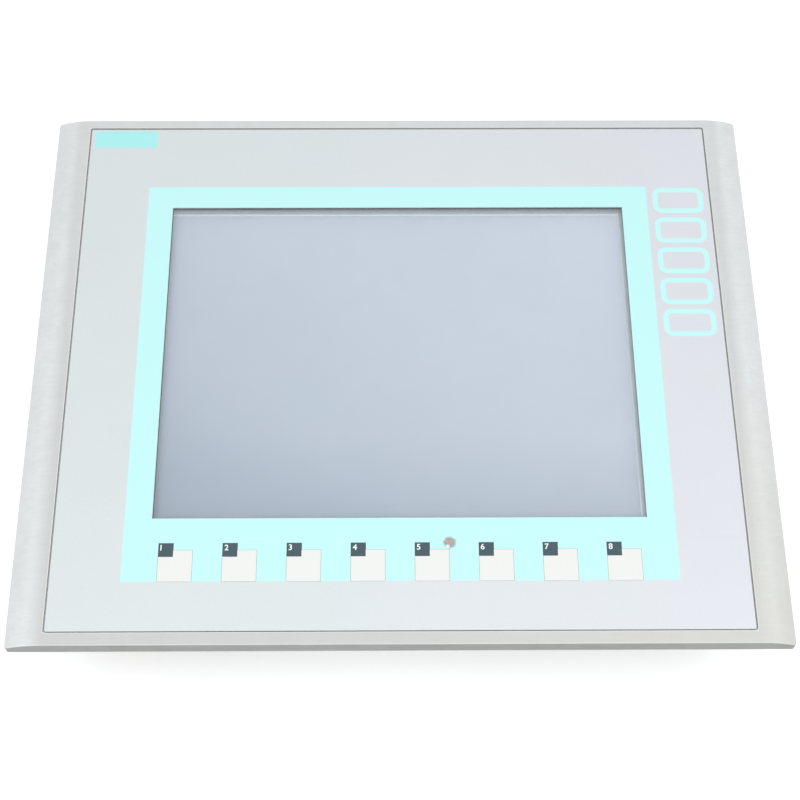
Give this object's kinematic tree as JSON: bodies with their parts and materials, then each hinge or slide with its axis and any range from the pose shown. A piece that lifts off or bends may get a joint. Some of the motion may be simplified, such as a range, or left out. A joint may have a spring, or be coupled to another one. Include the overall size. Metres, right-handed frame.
{
  "type": "operator touch panel",
  "caption": "Flush-fitting operator panel for a cabinet door: framed touch display with a row of sprung function keys and a stepped sheet-metal housing.",
  "frame": {"origin": "centre of the door cut-out, in the plane where the flange and its seal meet the door", "axes": "+Z out of the screen towards the operator, +Y to the top edge of the screen, +X to the right"},
  "size_m": [0.335, 0.275, 0.061],
  "materials": {
    "front_frame": "satin cast with a light brushed grain",
    "foil": "silver-grey printed foil, semi-matt",
    "print": "pale turquoise print, semi-matt",
    "window": "matt clear window film",
    "key_field": "off-white card behind clear foil, with a dark number badge",
    "label_card": "plain card",
    "membrane": "printed polyester sheet",
    "dome_steel": "thin spring steel",
    "touch_glass": "clear sensor glass",
    "gasket_foam": "black foam",
    "flex_film": "amber flexible circuit",
    "lcd_can": "pressed steel",
    "lcd_glass": "unlit display, blue-grey",
    "backlight": "white light guide and tray",
    "lamp_glass": "coated lamp tube",
    "carrier_sheet": "plain sheet",
    "zinc_sheet": "zinc-plated sheet",
    "screw_steel": "zinc-plated screws",
    "seal_rubber": "black door seal",
    "circuit_board": "green solder mask",
    "chip_black": "moulded packages",
    "header_white": "natural nylon",
    "heat_sink": "black anodised",
    "capacitor_sleeve": "sleeved cans",
    "choke_ferrite": "wound ferrite ring",
    "socket_green": "green socket moulding",
    "pin_tin": "tinned pins",
    "jack_shield": "nickel-plated shield",
    "contact_gold": "gold-plated contacts",
    "transformer": "ferrite and bobbin",
    "ribbon_grey": "flat ribbon cable",
    "lead_pink": "insulated lamp leads",
    "lead_red": "insulated supply leads",
    "label_silver": "blank silver label",
    "ground_brass": "plated brass stud, washer and nut"
  },
  "bodies": {
    "housing": {"front_frame": "front_frame", "front_foil": "foil", "printed_graphics": "print", "window_film": "window", "label_strip": "label_card", "key_membrane": "membrane", "touch_sensor": "touch_glass", "touch_gasket": "gasket_foam", "touch_flex_tail": "flex_film", "lcd_dust_seal": "gasket_foam", "lcd_bezel": "lcd_can", "lcd_panel": "lcd_glass", "lcd_backlight": "backlight", "lcd_lamps": "lamp_glass", "lcd_brackets": "zinc_sheet", "lcd_screws": "screw_steel", "mounting_seal": "seal_rubber", "support_plate": "carrier_sheet", "frame_screws": "screw_steel", "main_board": "circuit_board", "board_screws": "screw_steel", "board_connectors": "header_white", "board_chips": "chip_black", "heat_spreader": "heat_sink", "capacitors": "capacitor_sleeve", "power_choke": "choke_ferrite", "power_socket": "socket_green", "power_pins": "pin_tin", "network_port": "jack_shield", "network_contacts": "contact_gold", "inverter_board": "circuit_board", "inverter_screws": "screw_steel", "inverter_transformer": "transformer", "display_cable": "ribbon_grey", "lamp_leads": "lead_pink", "inverter_supply_leads": "lead_red", "rear_cover": "zinc_sheet", "cover_screws": "screw_steel", "rating_plate": "label_silver", "ground_terminal": "ground_brass", "key_dome_1": "dome_steel", "key_dome_2": "dome_steel", "key_dome_3": "dome_steel", "key_dome_4": "dome_steel", "key_dome_5": "dome_steel", "key_dome_6": "dome_steel", "key_dome_7": "dome_steel", "key_dome_8": "dome_steel"},
    "key_1_body": {"key_1": "key_field"},
    "key_2_body": {"key_2": "key_field"},
    "key_3_body": {"key_3": "key_field"},
    "key_4_body": {"key_4": "key_field"},
    "key_5_body": {"key_5": "key_field"},
    "key_6_body": {"key_6": "key_field"},
    "key_7_body": {"key_7": "key_field"},
    "key_8_body": {"key_8": "key_field"}
  },
  "joints": [
    {"name": "key_1_press", "type": "slide", "parent": "housing", "child": "key_1_body", "axis": [0, 0, 1], "range_m": [-0.0004, 0], "stiffness_N_per_m": 6000, "springref_m": 0.0001, "deforming": ["key_dome_1"]},
    {"name": "key_2_press", "type": "slide", "parent": "housing", "child": "key_2_body", "axis": [0, 0, 1], "range_m": [-0.0004, 0], "stiffness_N_per_m": 6000, "springref_m": 0.0001, "deforming": ["key_dome_2"]},
    {"name": "key_3_press", "type": "slide", "parent": "housing", "child": "key_3_body", "axis": [0, 0, 1], "range_m": [-0.0004, 0], "stiffness_N_per_m": 6000, "springref_m": 0.0001, "deforming": ["key_dome_3"]},
    {"name": "key_4_press", "type": "slide", "parent": "housing", "child": "key_4_body", "axis": [0, 0, 1], "range_m": [-0.0004, 0], "stiffness_N_per_m": 6000, "springref_m": 0.0001, "deforming": ["key_dome_4"]},
    {"name": "key_5_press", "type": "slide", "parent": "housing", "child": "key_5_body", "axis": [0, 0, 1], "range_m": [-0.0004, 0], "stiffness_N_per_m": 6000, "springref_m": 0.0001, "deforming": ["key_dome_5"]},
    {"name": "key_6_press", "type": "slide", "parent": "housing", "child": "key_6_body", "axis": [0, 0, 1], "range_m": [-0.0004, 0], "stiffness_N_per_m": 6000, "springref_m": 0.0001, "deforming": ["key_dome_6"]},
    {"name": "key_7_press", "type": "slide", "parent": "housing", "child": "key_7_body", "axis": [0, 0, 1], "range_m": [-0.0004, 0], "stiffness_N_per_m": 6000, "springref_m": 0.0001, "deforming": ["key_dome_7"]},
    {"name": "key_8_press", "type": "slide", "parent": "housing", "child": "key_8_body", "axis": [0, 0, 1], "range_m": [-0.0004, 0], "stiffness_N_per_m": 6000, "springref_m": 0.0001, "deforming": ["key_dome_8"]}
  ]
}
